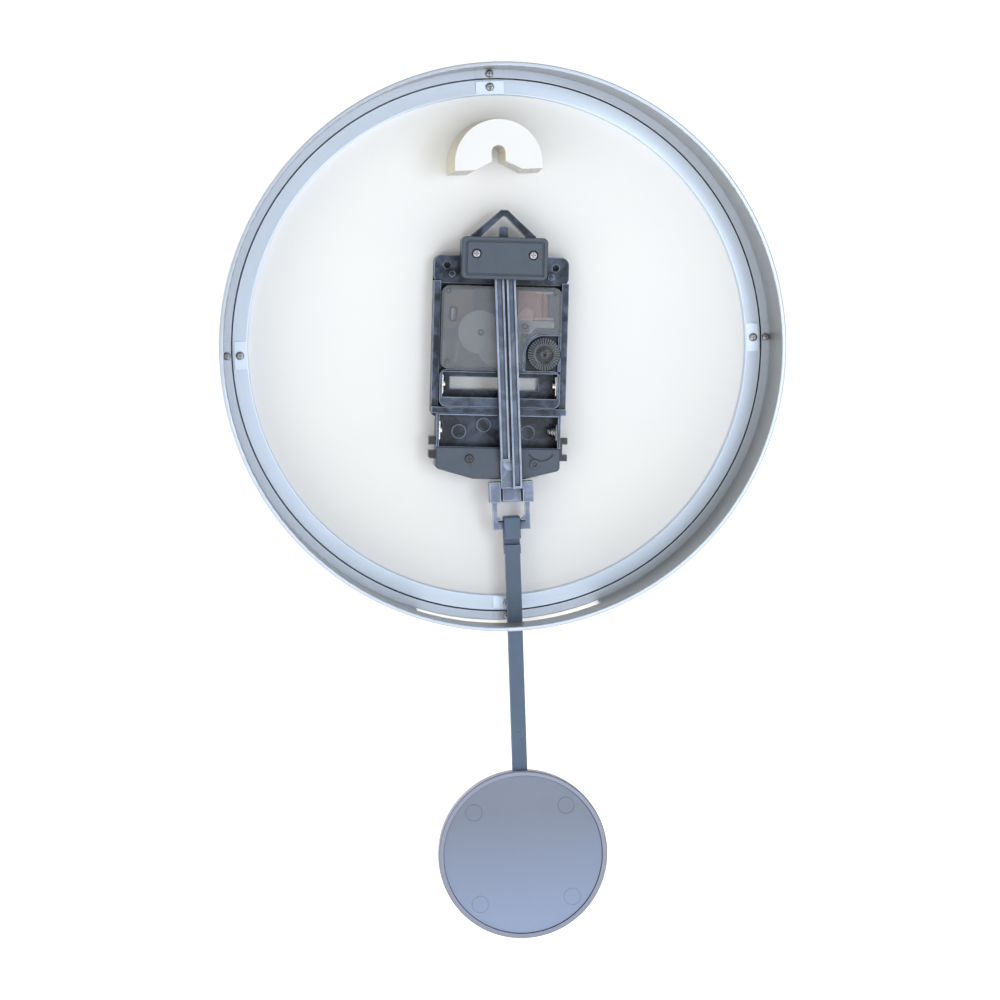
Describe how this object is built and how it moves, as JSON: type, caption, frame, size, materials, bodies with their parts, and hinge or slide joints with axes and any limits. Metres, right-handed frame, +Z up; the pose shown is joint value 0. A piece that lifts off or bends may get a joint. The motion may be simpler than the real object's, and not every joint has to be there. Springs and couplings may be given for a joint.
{
  "type": "pendulum wall clock",
  "caption": "Round wall clock with a deep case ring, quartz pendulum movement on the dial's back, hanging block with nail notch, and a swinging rod and bob.",
  "frame": {"origin": "top of the nail notch in the hanging block, on the wall plane", "axes": "+Y towards the wall, -Y is the way the dial faces, +Z up, +X to the right of someone facing the dial"},
  "size_m": [0.26, 0.0525, 0.4079],
  "materials": {
    "silver_paint": "satin",
    "zinc_screw": "bright zinc",
    "lens_glass": "clear",
    "white_dial": "matt card",
    "white_plastic": "moulded",
    "print_black": "printed",
    "hand_black": "satin",
    "brass": "turned",
    "movement_black": "moulded",
    "smoke_cover": "clear smoked",
    "knob_black": "moulded",
    "gear_nylon": "moulded",
    "steel": "turned",
    "copper": "enamelled copper wire",
    "board": "laminate",
    "contact_plate": "plated",
    "pendulum_plastic": "moulded",
    "bob_plastic": "moulded, silver-grey",
    "magnet": "sintered"
  },
  "bodies": {
    "case": {"bezel": "silver_paint", "case_band": "silver_paint", "circuit_board": "board", "clock_contact_negative": "contact_plate", "clock_contact_positive": "contact_plate", "coil_bobbin": "white_plastic", "coil_winding": "copper", "cradle_frame": "movement_black", "dial_plate": "white_dial", "drive_board": "board", "drive_bobbin": "white_plastic", "drive_contact_negative": "steel", "drive_contact_positive": "contact_plate", "drive_cover": "movement_black", "drive_cover_screw": "zinc_screw", "drive_housing": "movement_black", "drive_winding": "copper", "fixing_nut": "brass", "hanger_block": "white_plastic", "hour_markers": "print_black", "latch_clip": "movement_black", "latch_knobs": "movement_black", "lens": "lens_glass", "minute_markers": "print_black", "movement_housing": "movement_black", "pivot_pin": "steel", "quartz_can": "steel", "rear_cover": "smoke_cover", "retaining_ring": "silver_paint", "retaining_screws": "zinc_screw", "shelf_screws": "zinc_screw", "spacer_ring": "white_plastic", "stator": "steel", "suspension_box": "movement_black", "suspension_cover": "movement_black", "suspension_screws": "zinc_screw", "train_bridge": "white_plastic", "washer": "steel"},
    "pendulum_lever": {"lever": "pendulum_plastic", "lever_magnet": "magnet", "stirrup": "pendulum_plastic"},
    "pendulum": {"pendulum_rod": "pendulum_plastic", "bob_shell": "bob_plastic", "bob_insert": "bob_plastic"},
    "seconds": {"seconds_wheel": "gear_nylon", "seconds_hand": "hand_black"},
    "third": {"third_wheel": "gear_nylon"},
    "centre": {"centre_wheel": "gear_nylon"},
    "middle": {"middle_wheel": "gear_nylon"},
    "stepper": {"rotor": "gear_nylon"},
    "minute": {"minute_tube": "gear_nylon", "minute_hand": "hand_black"},
    "motion": {"motion_wheel": "gear_nylon"},
    "hour": {"hour_wheel": "gear_nylon", "hour_hand": "hand_black"},
    "knob": {"setting_knob": "knob_black"}
  },
  "joints": [
    {"name": "pendulum_swing", "type": "hinge", "parent": "case", "child": "pendulum_lever", "pos_m": [-0.0025, -0.0172, -0.05138], "axis": [0, 1, 0], "range_deg": [-12, 12]},
    {"name": "rod_hook", "type": "hinge", "parent": "pendulum_lever", "child": "pendulum", "pos_m": [-0.0025, -0.024, -0.17438], "axis": [1, 0, 0], "range_deg": [-4, 1]},
    {"name": "seconds_spin", "type": "hinge", "parent": "case", "child": "seconds", "pos_m": [0, -0.028, -0.0923], "axis": [0, 1, 0], "continuous": true},
    {"name": "third_spin", "type": "hinge", "parent": "case", "child": "third", "pos_m": [0.00902, -0.028, -0.08513], "axis": [0, 1, 0], "continuous": true},
    {"name": "centre_spin", "type": "hinge", "parent": "case", "child": "centre", "pos_m": [0, -0.028, -0.0923], "axis": [0, 1, 0], "continuous": true},
    {"name": "middle_spin", "type": "hinge", "parent": "case", "child": "middle", "pos_m": [-0.00464, -0.028, -0.0853], "axis": [0, 1, 0], "continuous": true},
    {"name": "stepper_spin", "type": "hinge", "parent": "case", "child": "stepper", "pos_m": [-0.01154, -0.028, -0.08325], "axis": [0, 1, 0], "continuous": true},
    {"name": "minute_turn", "type": "hinge", "parent": "case", "child": "minute", "pos_m": [0, -0.028, -0.0923], "axis": [0, 1, 0], "continuous": true},
    {"name": "motion_turn", "type": "hinge", "parent": "case", "child": "motion", "pos_m": [-0.00823, -0.028, -0.09397], "axis": [0, 1, 0], "continuous": true},
    {"name": "hour_turn", "type": "hinge", "parent": "case", "child": "hour", "pos_m": [0, -0.028, -0.0923], "axis": [0, 1, 0], "continuous": true},
    {"name": "knob_turn", "type": "hinge", "parent": "case", "child": "knob", "pos_m": [-0.01989, -0.028, -0.09635], "axis": [0, 1, 0], "continuous": true}
  ],
  "couplings": [
    {"joint": "third_spin", "follows": "seconds_spin", "ratio": -0.13333},
    {"joint": "centre_spin", "follows": "seconds_spin", "ratio": 0.016667},
    {"joint": "middle_spin", "follows": "seconds_spin", "ratio": -6},
    {"joint": "stepper_spin", "follows": "seconds_spin", "ratio": 30},
    {"joint": "motion_turn", "follows": "minute_turn", "ratio": -0.33333},
    {"joint": "hour_turn", "follows": "minute_turn", "ratio": 0.083333},
    {"joint": "knob_turn", "follows": "minute_turn", "ratio": 0.375}
  ]
}
